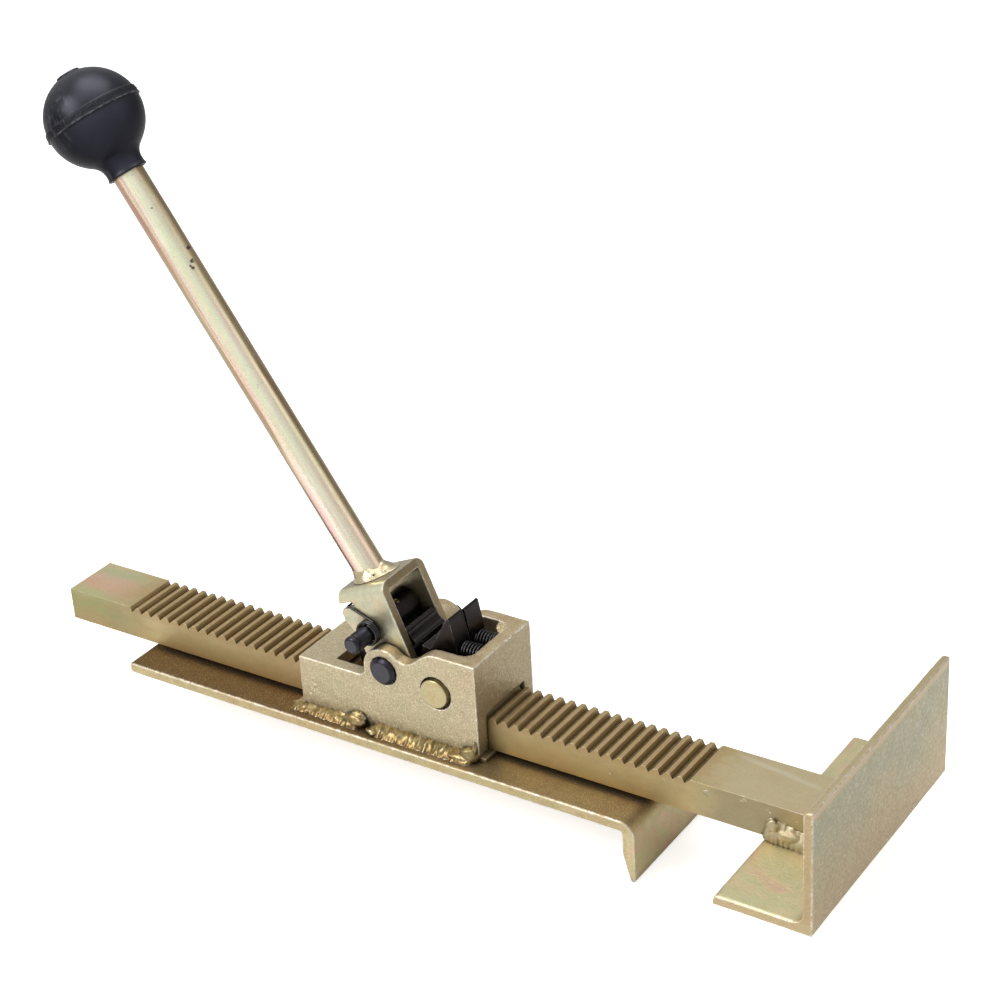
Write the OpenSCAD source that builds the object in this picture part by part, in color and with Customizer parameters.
// Lever-operated rack puller: a toothed bar slides through a ratchet housing that is
// welded on a base plate with a turned-down lip, and carries an angle foot on its end.
// +X runs along the bar towards the foot, +Y (back) is away from the drive pin knob, +Z is up.
// The origin is under the lever pivot, on the underside of the base plate.

/* [Base plate] */
// length of base plate left of the lever pivot
base_left = 158; // [130:1:190]
// right end of base plate, measured to the outer face of the lip
base_right = 144; // [130:1:146]
// width of base plate
base_w = 70; // [60:1:90]
// thickness of base plate
base_t = 5.2; // [4:0.1:5.6]
// how far the lip hangs below the base plate
lip_drop = 27; // [18:1:40]
// thickness of the lip
lip_t = 6.2; // [5.8:0.1:7]

/* [Rack bar] */
// width of the bar
bar_w = 32; // [28:0.5:32]
// length of bar left of the lever pivot
bar_left = 213; // [190:1:240]
// tooth pitch
pitch = 6.35; // [6.3:0.01:6.4]
// number of tooth ridges
ridges = 52; // [40:1:52]
// depth of the tooth grooves
tooth_depth = 2.8; // [1.5:0.1:2.8]

/* [Foot angle] */
// reach of the foot towards the front
foot_front = 65.4; // [40:1:90]
// reach of the foot towards the back
foot_back = 75.8; // [40:1:90]
// height of the upright leg
foot_h = 62.8; // [45:1:80]
// reach of the flat leg under the bar
foot_leg = 47.8; // [40:1:50]
// thickness of both legs
foot_t = 4.75; // [3:0.25:5]

/* [Housing] */
// overall width of the housing
housing_w = 49.8; // [47:0.2:56]
// length of housing left of the pivot
housing_left = 52; // [46:1:60]
// height of the low section's top
low_top = 34.65; // [33.5:0.1:35]
// height of the high section's top
high_top = 57.6; // [56.5:0.1:60]

/* [Lever] */
// distance from the bracket's web to the ball's centre
handle_len = 256; // [150:1:330]
// diameter of the handle rod
rod_d = 15.9; // [14:0.1:16.5]
// diameter of the ball knob
ball_d = 48.4; // [46:0.2:56]
// bracket sheet thickness
sheet = 5; // [4:0.1:5]

/* [Springs] */
// wire diameter of the springs
wire_d = 1.1; // [0.9:0.1:1.3]

/* [Hidden] */
$fn = 64;
sliver = 0.02; // small overlap or gap where pieces meet
fit = 0.03; // radial clearance of close bores
gap = 0.05; // clearance of looser fits

// Heights
wear_t = 2.4;
wear_top = base_t + wear_t;
bar_bottom = 7.7;
bar_top = 25.5;

// Pin axes, each as [x, z]
pivot = [0, 40.7];
drive = [-10.5, 56.8];
hold = [29.5, 36.5];

// Pins
pivot_head_r = 7.4;
pivot_r = 6;
tail_r = 4.5;
hold_head_r = 7.6;
hold_r = 6.4;
drive_r = 4.5;
head_end = -18; // y where the pin heads step down to the shanks

// Housing
housing_side = housing_w / 2;
housing_right = 53.6;
boss_r = 11.8;
boss_end = 31;
pocket_left = -33.5;
pocket_right = 46.3;
pocket_side = 17.8;

// Pawls
pawl_side = 12;
pawl_split = 0.3; // from y = 0 to either holding pawl
pawl_right = 35.6; // upright right face of the holding pawls

// Lever
tilt = 23.7;
lean = 34;
web_top = 41;
web_left = -16.3;
web_right = 14.2;
bracket_side = 17.4;
rod_x = -3.6; // rod's place along the web
rod_base = [pivot[0] + rod_x * cos(tilt) - web_top * sin(tilt),
  pivot[1] + rod_x * sin(tilt) + web_top * cos(tilt)];
rod_sink = 12; // rod starts this far below the web and ends this far below the ball's centre
ball_r = ball_d / 2;

// Foot
foot_x = 244;
leg_bottom = bar_bottom - foot_t;

gold = [0.80, 0.71, 0.50];
dark_gold = [0.66, 0.56, 0.36];
black = [0.13, 0.13, 0.14];
steel = [0.62, 0.62, 0.60];

// ---- Shared shapes ----

// extrudes an x-z profile from y0 to y1
module slab(y0, y1)
  translate([0, y1, 0]) rotate([90, 0, 0]) linear_extrude(y1 - y0) children();

// cone along y about axis [x, z], r0 at y0 and r1 at y1
module y_cone(axis, y0, y1, r0, r1)
  translate([axis[0], y1, axis[1]]) rotate([90, 0, 0]) cylinder(h = y1 - y0, r1 = r1, r2 = r0);

module y_cylinder(axis, y0, y1, radius)
  translate([axis[0], y1, axis[1]]) rotate([90, 0, 0]) cylinder(h = y1 - y0, r = radius);

// bracket frame: x along the web, z out through the web
module in_bracket() translate([pivot[0], 0, pivot[1]]) rotate([0, -tilt, 0]) children();

// handle frame: z along the rod, from the web
module in_handle() translate([rod_base[0], 0, rod_base[1]]) rotate([0, -lean, 0]) children();

// rounds off a profile's top right corner that lies at the origin
module corner_cut(radius) difference() {
  translate([-radius, -radius]) square(radius + 1);
  translate([-radius, -radius]) circle(radius);
}

// fills the inside corner at [x, z] between a floor and a wall on its right
module fillet(x, z, radius) difference() {
  translate([x - radius, z - sliver]) square([radius + sliver, radius + sliver]);
  translate([x - radius, z + radius]) circle(radius);
}

// ball that joins two lengths of wire
module wire_joint(wire_r) sphere(wire_r * 1.01, $fn = 16);

// coil about z, built of tilted half rings joined by balls
module coil(radius, lead, halves, wire_r) {
  ring_r = sqrt(radius * radius + lead * lead / 16);
  ring_tilt = atan(lead / 4 / radius);
  for (i = [0 : halves - 1])
    translate([0, 0, lead / 4 + i * lead / 2])
      rotate([0, 0, 180 * i])
        rotate([0, ring_tilt, 0])
          rotate_extrude(angle = 180, $fn = 48) translate([ring_r, 0]) circle(wire_r, $fn = 16);
  for (i = [0 : halves])
    rotate([0, 0, 180 * i]) translate([radius, 0, i * lead / 2]) wire_joint(wire_r);
}

// least y of a block of the given depth that stands just off a face at side * face_y
function outside_y(side, face_y, depth) = side > 0 ? face_y + sliver : -face_y - depth - sliver;

// ---- Base and wear plates ----

lip_bend_r = 8;
lip_fillet_r = 1.5;

module base_profile() {
  lip_inner = base_right - lip_t;
  difference() {
    polygon([[-base_left, 0], [lip_inner, 0], [lip_inner, -lip_drop + 14],
      [base_right - 2.7, -lip_drop + 1], [base_right - 2, -lip_drop],
      [base_right - 0.8, -lip_drop], [base_right, -lip_drop + 0.8],
      [base_right, base_t], [-base_left, base_t]]);
    translate([base_right, base_t]) corner_cut(lip_bend_r);
  }
  translate([lip_inner - lip_fillet_r, -lip_fillet_r]) difference() {
    square(lip_fillet_r);
    circle(lip_fillet_r);
  }
}

module base_plate() color(gold) slab(-base_w / 2, base_w / 2) base_profile();

wear_over = 3.6; // reach past the housing's left end
wear_right = 56.9;
wear_inset = 0.4;

module wear_plate() color(dark_gold)
  translate([-housing_left - wear_over, -housing_side + wear_inset, base_t])
    cube([housing_left + wear_over + wear_right, housing_w - 2 * wear_inset, wear_t]);

// ---- Housing ----

boss_fillet_r = 3.6;
channel_side = 16.8;
channel_top = 27.43;
pocket_round = 6.5;

// high section with its sloping left edge, as [x, z]
high_section = [[0, 33], [housing_right, 33], [housing_right, high_top], [30.2, high_top],
  [27.6, 57.2], [25.4, 56.2], [22.0, 53.8], [18.2, 50.6], [15.8, 48.9], [13.4, 48.1],
  [11.2, 48.2], [8.4, 49.0], [0, 46]];

module housing_profile() {
  translate([-housing_left, wear_top])
    square([housing_left + housing_right, low_top - wear_top]);
  translate(pivot) circle(boss_r);
  translate([pivot[0] - boss_r, 30]) square([2 * boss_r, pivot[1] - 30]);
  fillet(-boss_r, low_top, boss_fillet_r);
  polygon(high_section);
}

// plan of the pawl pocket, rounded at its right end
module pocket_plan() {
  round_x = pocket_right - pocket_round;
  round_y = pocket_side - pocket_round;
  translate([pocket_left, -pocket_side]) square([round_x - pocket_left, 2 * pocket_side]);
  translate([pocket_left, -round_y]) square([pocket_right - pocket_left, 2 * round_y]);
  for (side = [-1, 1]) translate([round_x, side * round_y]) circle(pocket_round);
}

module housing() color(gold) difference() {
  union() {
    slab(-housing_side, housing_side) housing_profile();
    y_cylinder(pivot, housing_side - 2, boss_end, boss_r);
  }
  // channel for the bar, open at both ends
  translate([-housing_left - 1, -channel_side, wear_top - 1])
    cube([housing_left + 56, 2 * channel_side, channel_top - wear_top + 1]);
  translate([0, 0, channel_top - 1]) linear_extrude(high_top) pocket_plan();
  // stepped bores, with a shallow offset recess round the holding pin's head
  y_cylinder(pivot, -housing_side - 1, 0, pivot_head_r + fit);
  y_cylinder(pivot, 0, boss_end + 1, pivot_r + fit);
  y_cylinder(hold, -housing_side - 1, 0, hold_head_r + fit);
  y_cylinder(hold + [0.75, 0.4], -housing_side - 1, -housing_side + 2, hold_head_r + 1.15);
  y_cylinder(hold, 0, housing_side + 1, hold_r + fit);
}

// ---- Base welds ----

ripple_step = 4.6;

// weld runs along x: start, end, ripple radius, then the end blob's x,
// distance off the housing, height above the base and radius
weld_runs = [
  [-51, -16, 5.4, -14.6, 0.8, 1.6, 6.2],
  [-4.5, 47, 5.2, 49.6, 0.6, 1.4, 5.9]];

// row of weld ripples along x
module ripples(x0, x1, side, radius) {
  count = round((x1 - x0) / ripple_step);
  for (i = [0 : count])
    translate([x0 + (x1 - x0) * i / count, side * (housing_side + 0.3 + 0.5 * (i % 2)),
      base_t + 0.4])
      sphere(radius + 0.25 * ((i + 1) % 3), $fn = 24);
}

// kept outside the housing and above the base
module base_welds(side) intersection() {
  union() for (run = weld_runs) {
    ripples(run[0], run[1], side, run[2]);
    translate([run[3], side * (housing_side + run[4]), base_t + run[5]])
      sphere(run[6], $fn = 24);
  }
  translate([-70, outside_y(side, housing_side, 30), base_t + sliver]) cube([140, 30, 30]);
}

module base_weld_front() color(dark_gold) base_welds(-1);
module base_weld_back() color(dark_gold) base_welds(1);

// ---- Pivot and holding pins ----

tail_end = 38.6;
tail_bevel = 0.8;
hold_end = 28.2;
hold_clip_r = 9.2;
spacer_r = 9.9;

// bevelled head at the front and a thinner shank behind it;
// tip and rim are the bevel's two ends, measured out from the housing's front
module headed_pin(axis, tip, rim, bevel, head_r, shank_r, shank_end) {
  y_cone(axis, -housing_side - tip, -housing_side - rim, head_r - bevel, head_r);
  y_cylinder(axis, -housing_side - rim - sliver, head_end, head_r);
  y_cylinder(axis, head_end - sliver, shank_end, shank_r);
}

module pivot_pin() color(black) {
  headed_pin(pivot, tip = 2.2, rim = 0.7, bevel = 1.6,
    head_r = pivot_head_r, shank_r = pivot_r, shank_end = boss_end - 0.1);
  y_cylinder(pivot, boss_end - 0.1 - sliver, tail_end, tail_r);
  y_cone(pivot, tail_end - sliver, tail_end + tail_bevel, tail_r, tail_r - tail_bevel);
}

module pivot_clip() color(black) difference() {
  y_cylinder(pivot, boss_end + gap, boss_end + 1.5, 7.4);
  y_cylinder(pivot, 30, 40, tail_r + fit);
}

module hold_pin() color(steel) difference() {
  headed_pin(hold, tip = 1.0, rim = 0.2, bevel = 0.9,
    head_r = hold_head_r, shank_r = hold_r, shank_end = hold_end);
  // clip groove
  difference() {
    y_cylinder(hold, housing_side + 0.1, housing_side + 1.4, hold_r + 1);
    y_cylinder(hold, housing_side, housing_side + 2, hold_r - 0.6);
  }
}

// ring, open at the bottom
module hold_pin_clip() color(black) difference() {
  y_cylinder(hold, housing_side + 0.15, housing_side + 1.35, hold_clip_r);
  y_cylinder(hold, housing_side, housing_side + 2, hold_r - 0.55);
  slab(housing_side, housing_side + 2) polygon([hold, hold + [-5, -12], hold + [5, -12]]);
}

// rings between the pawls and the pocket's sides
module hold_spacers() color(steel) {
  inner = pawl_side + 0.15;
  outer = pocket_side - gap;
  for (side = [-1, 1]) difference() {
    y_cylinder(hold, side > 0 ? inner : -outer, side > 0 ? outer : -inner, spacer_r);
    y_cylinder(hold, -30, 30, hold_r + fit);
  }
}

// ---- Holding pawls and their springs ----

hold_eye_r = 10.7;
horn_tip = [32.0, 70.3];
horn_tip_r = 0.92;
front_horn_turn = -1.4;

// pawl outline as [x, z], in three stretches: right side, horn, left side
hold_right_side = [[12.95, 25.65], [13.15, 25.65], [17.3, 28.6], [21, 28.6], [29.5, 26.4],
  [39.6, 38], [37.6, 42.4], [pawl_right, 46.5], [pawl_right, 55]];
hold_horn = [[34.9, 60.4], [32.9, 70.3], [31.2, 70.8], [27.4, 64.4], [23.4, 57.4]];
hold_left_side = [[21.6, 54.2], [19.7, 51.8], [15.3, 52.8], [15.0, 50], [13.6, 40],
  [12.2, 33], [11.85, 29.5]];

// a point turned clockwise about the holding pin, with x to the right and z up
function turned(point, angle) =
  let (x = point[0] - hold[0], z = point[1] - hold[1])
  [hold[0] + x * cos(angle) + z * sin(angle), hold[1] - x * sin(angle) + z * cos(angle)];

module hold_pawl_profile(horn_turn) difference() {
  union() {
    polygon(concat(hold_right_side, [for (point = hold_horn) turned(point, horn_turn)],
      hold_left_side));
    translate(hold) circle(hold_eye_r);
    translate(turned(horn_tip, horn_turn)) circle(horn_tip_r);
  }
  translate(hold) circle(hold_r + gap);
}

module hold_pawl_front() color(black)
  slab(-pawl_side, -pawl_split) hold_pawl_profile(front_horn_turn);
module hold_pawl_back() color(black) slab(pawl_split, pawl_side) hold_pawl_profile(0);

hold_spring_y = 6.1;
hold_spring_z = 53;
hold_spring_r = 4.2;
hold_spring_turns = 6;
hold_spring_gap = 0.15; // to the pawl and to the pocket's end

module hold_spring(y) {
  start = pawl_right + hold_spring_gap;
  span = pocket_right - hold_spring_gap - start - wire_d;
  translate([start + wire_d / 2, y, hold_spring_z]) rotate([0, 90, 0])
    coil(hold_spring_r, span / hold_spring_turns, 2 * hold_spring_turns, wire_d / 2);
}

module hold_spring_front() color(steel) hold_spring(-hold_spring_y);
module hold_spring_back() color(steel) hold_spring(hold_spring_y);

// ---- Rack bar and foot ----

first_ridge = -165.9;
land = 2; // flat top of a ridge
steep_run = tan(25) * tooth_depth;
bar_chamfer = 6;

// groove to the left of the ridge centred at ridge_x
module groove(ridge_x) {
  left = ridge_x - pitch + land / 2;
  right = ridge_x - land / 2;
  floor_z = bar_top - tooth_depth;
  polygon([[left, bar_top + 1], [left, bar_top], [left + steep_run, floor_z],
    [right - tooth_depth, floor_z], [right, bar_top], [right, bar_top + 1]]);
}

module rack_bar() color(gold) slab(-bar_w / 2, bar_w / 2) difference() {
  polygon([[-bar_left, bar_bottom], [foot_x - bar_chamfer, bar_bottom],
    [foot_x, bar_bottom + bar_chamfer], [foot_x, bar_top], [-bar_left, bar_top]]);
  for (i = [0 : ridges]) groove(first_ridge + pitch * i);
}

foot_fillet_r = 5;
foot_edge_r = 2.4;

module foot_profile() {
  leg_left = foot_x + foot_t - foot_leg;
  difference() {
    union() {
      translate([foot_x, leg_bottom]) square([foot_t, foot_h]);
      translate([leg_left, leg_bottom]) square([foot_leg, foot_t]);
      fillet(foot_x, bar_bottom, foot_fillet_r);
    }
    translate([foot_x, leg_bottom + foot_h]) rotate(90) corner_cut(foot_edge_r);
    translate([leg_left, bar_bottom]) rotate(90) corner_cut(foot_edge_r);
  }
}

module foot_angle() color(gold) slab(-foot_front, foot_back) foot_profile();

// ripples along the bar's lower edge, then up the upright leg
module foot_ripples(side) {
  for (i = [0 : 7])
    translate([206.5 + 4.7 * i, side * (bar_w / 2 + 0.4), bar_bottom + 0.4 + 0.25 * i])
      sphere(5.2 + 0.3 * (i % 2) + (i == 0 ? 1 : 0), $fn = 24);
  for (i = [0 : 2])
    translate([foot_x - 0.6, side * (bar_w / 2 + 0.5), bar_bottom + 3 + 4 * i])
      sphere(5.2 + 0.2 * i, $fn = 24);
}

module foot_welds() color(dark_gold) difference() {
  for (side = [-1, 1]) intersection() {
    foot_ripples(side);
    translate([190, outside_y(side, bar_w / 2, 20), bar_bottom + sliver])
      cube([foot_x - 190 - sliver, 20, 30]);
  }
  slab(-foot_front, foot_back) foot_profile();
}

// ---- Lever bracket ----

bend_r = 6;
cheek_r = 13.2;
slot_r = 1.45;
slot_end = [-9.2, 33.55];

// channel section across the bracket, open at the bottom
module bracket_section() difference() {
  union() {
    translate([-bracket_side + bend_r, -20]) square([2 * (bracket_side - bend_r), web_top + 20]);
    translate([-bracket_side, -20]) square([2 * bracket_side, web_top + 20 - bend_r]);
    for (side = [-1, 1]) translate([side * (bracket_side - bend_r), web_top - bend_r])
      circle(bend_r);
  }
  translate([-bracket_side + sheet, -21])
    square([2 * (bracket_side - sheet), web_top + 21 - sheet]);
}

// side outline of the cheeks, with a slot open to the left
module bracket_outline() difference() {
  union() {
    circle(cheek_r);
    polygon([[-cheek_r, 0], [cheek_r, 0], [13.6, 12], [web_right, 38],
      [web_right, web_top + 1], [web_left, web_top + 1], [web_left, 31],
      [-17.1, 27.8], [-17.0, 25], [-15.2, 20.6], [-13.6, 12]]);
    translate([-14.6, 29.4]) circle(2.6);
  }
  translate(slot_end) circle(slot_r);
  translate([-25, slot_end[1] - slot_r]) square([25 + slot_end[0], 2 * slot_r]);
}

module lever_bracket() color(gold) in_bracket() difference() {
  intersection() {
    rotate([90, 0, 90]) translate([0, 0, web_left - 5])
      linear_extrude(web_right - web_left + 10) bracket_section();
    slab(-bracket_side - 1, bracket_side + 1) bracket_outline();
  }
  y_cylinder([0, 0], -30, 30, pivot_r + gap);
  rotate([0, tilt, 0]) y_cylinder(drive - pivot, -30, 30, drive_r + gap);
}

// ---- Handle ----

stud_r = 5.9;
insert_r = 8;

// removes what would reach through the web
module below_web() in_bracket()
  translate([-80, -40, web_top - 120]) cube([160, 80, 120 + sliver]);

module handle_rod() color(gold) difference() {
  in_handle() {
    translate([0, 0, -rod_sink]) cylinder(h = handle_len, d = rod_d);
    translate([0, 0, handle_len - rod_sink - 1]) cylinder(h = 20, r = stud_r);
  }
  below_web();
}

// ring of ripples, with bigger ones on the left and a second layer cut away above them
module handle_weld() color(dark_gold) difference() {
  in_bracket() translate([rod_x, 0, web_top]) for (i = [0 : 11])
    rotate([0, 0, 30 * i]) translate([8.3, 0, 0.3])
      sphere(4.8 + 0.4 * (i % 2) + (i > 4 && i < 9 ? 0.8 : 0), $fn = 24);
  in_bracket() translate([rod_x, 0, web_top]) for (i = [4 : 8])
    rotate([0, 0, 30 * i + 10]) translate([7.2, 0, 4.6]) sphere(3.9, $fn = 24);
  in_handle() translate([0, 0, -14]) cylinder(h = 40, d = rod_d + 2 * sliver);
  below_web();
}

module ball_knob() color(black) in_handle() translate([0, 0, handle_len]) difference() {
  union() {
    sphere(ball_r, $fn = 96);
    // neck, raised band and end cap
    translate([0, 0, -ball_r - 6.1]) cylinder(h = 10, r1 = 9.9, r2 = 11.9);
    translate([0, 0, 0.2]) cylinder(h = 4, r = ball_r + 0.5, $fn = 96);
    translate([0, 0, 10]) cylinder(h = ball_r - 9.4, r = 6.2);
  }
  // bores for the rod and the insert
  translate([0, 0, -ball_r - 10])
    cylinder(h = ball_r + 10 - rod_sink + sliver, d = rod_d + 2 * fit);
  translate([0, 0, -rod_sink]) cylinder(h = 21.5, r = insert_r + fit);
}

module knob_insert() color(steel) in_handle() translate([0, 0, handle_len]) difference() {
  translate([0, 0, -rod_sink + gap]) cylinder(h = 21.4, r = insert_r);
  translate([0, 0, -rod_sink - 1]) cylinder(h = 20.2, r = stud_r + gap);
}

// ---- Drive pin, pawl and torsion spring ----

torsion_y = -18.2;
torsion_r = 5.85;
torsion_lead = 1.36;
torsion_turn = 71.4;
arm_len = 15.3;
hook_len = 5.2;

// coil round the drive pin, with a straight arm that ends in a hook towards the back
module torsion_spring() color(steel) {
  wire_r = wire_d / 2;
  translate([drive[0], torsion_y, drive[1]]) rotate([90, 0, 0]) rotate([0, 0, torsion_turn])
    coil(torsion_r, torsion_lead, 6, wire_r);
  translate([drive[0] + torsion_r * cos(torsion_turn), torsion_y,
    drive[1] + torsion_r * sin(torsion_turn)]) rotate([0, -torsion_turn, 0]) {
    cylinder(h = arm_len, r = wire_r, $fn = 16);
    translate([0, 0, arm_len]) wire_joint(wire_r);
    translate([0, 0, arm_len]) rotate([-90, 0, 0]) cylinder(h = hook_len, r = wire_r, $fn = 16);
  }
}

roll_turn = 20;
roll_r = 1.5;
roll_hole_r = roll_r + 0.02;
knob_r = drive_r + 0.1;
drive_eye_r = 9.2;

// roll pin frame: z along the pin, shifted from the drive pin's axis
module in_roll(shift)
  translate([drive[0], 0, drive[1]]) rotate([0, roll_turn, 0]) translate([0, 0, shift])
    children();

// bevelled knob at the front, a neck, then the shank
module drive_pin() color(black) difference() {
  union() {
    y_cone(drive, -34.8, -33.8, drive_r - 0.9, knob_r);
    y_cylinder(drive, -33.8 - sliver, -31.4, knob_r);
    y_cylinder(drive, -31.4 - sliver, -30.8, drive_r - 0.5);
    y_cylinder(drive, -30.8 - sliver, bracket_side - gap, drive_r);
  }
  in_roll(-8) cylinder(h = 16, r = roll_hole_r);
}

// the drive pawl's right arm and its lower arm, as [x, z]
drive_right_arm = [[-10, 56], [-3, 52.2], [2, 53.5], [8, 53.0], [12, 52.2], [12.2, 53.0],
  [11.2, 53.9], [10.3, 54.2], [9.2, 55.2], [8.0, 56.9], [7.2, 57.2], [6.4, 58.4],
  [5.2, 59.0], [3.6, 58.3], [-1.5, 55.6]];
drive_lower_arm = [[-20.3, 55], [-23.5, 44], [-23.6, 36], [-21.2, 29.5], [-20.0, 25.65],
  [-19.8, 25.65], [-16.0, 29.45], [-15.2, 33], [-14.0, 40], [-12.5, 47.0], [-10.9, 56.6]];

module drive_pawl() color(black) difference() {
  slab(-pawl_side, pawl_side) union() {
    translate(drive) circle(drive_eye_r);
    polygon(drive_right_arm);
    polygon(drive_lower_arm);
  }
  y_cylinder(drive, -20, 20, drive_r + fit);
  in_roll(-12) cylinder(h = 24, r = roll_hole_r);
}

module roll_pin() color(steel) in_roll(-8.6) difference() {
  cylinder(h = 17.6, r = roll_r, $fn = 32);
  translate([0, 0, -1]) cylinder(h = 20, r = 0.8, $fn = 32);
}

base_plate();
wear_plate();
housing();
base_weld_front();
base_weld_back();
pivot_pin();
pivot_clip();
hold_pin();
hold_pin_clip();
hold_spacers();
hold_spring_front();
hold_spring_back();
rack_bar();
foot_angle();
foot_welds();
lever_bracket();
handle_rod();
handle_weld();
ball_knob();
knob_insert();
torsion_spring();
drive_pin();
drive_pawl();
roll_pin();
hold_pawl_front();
hold_pawl_back();
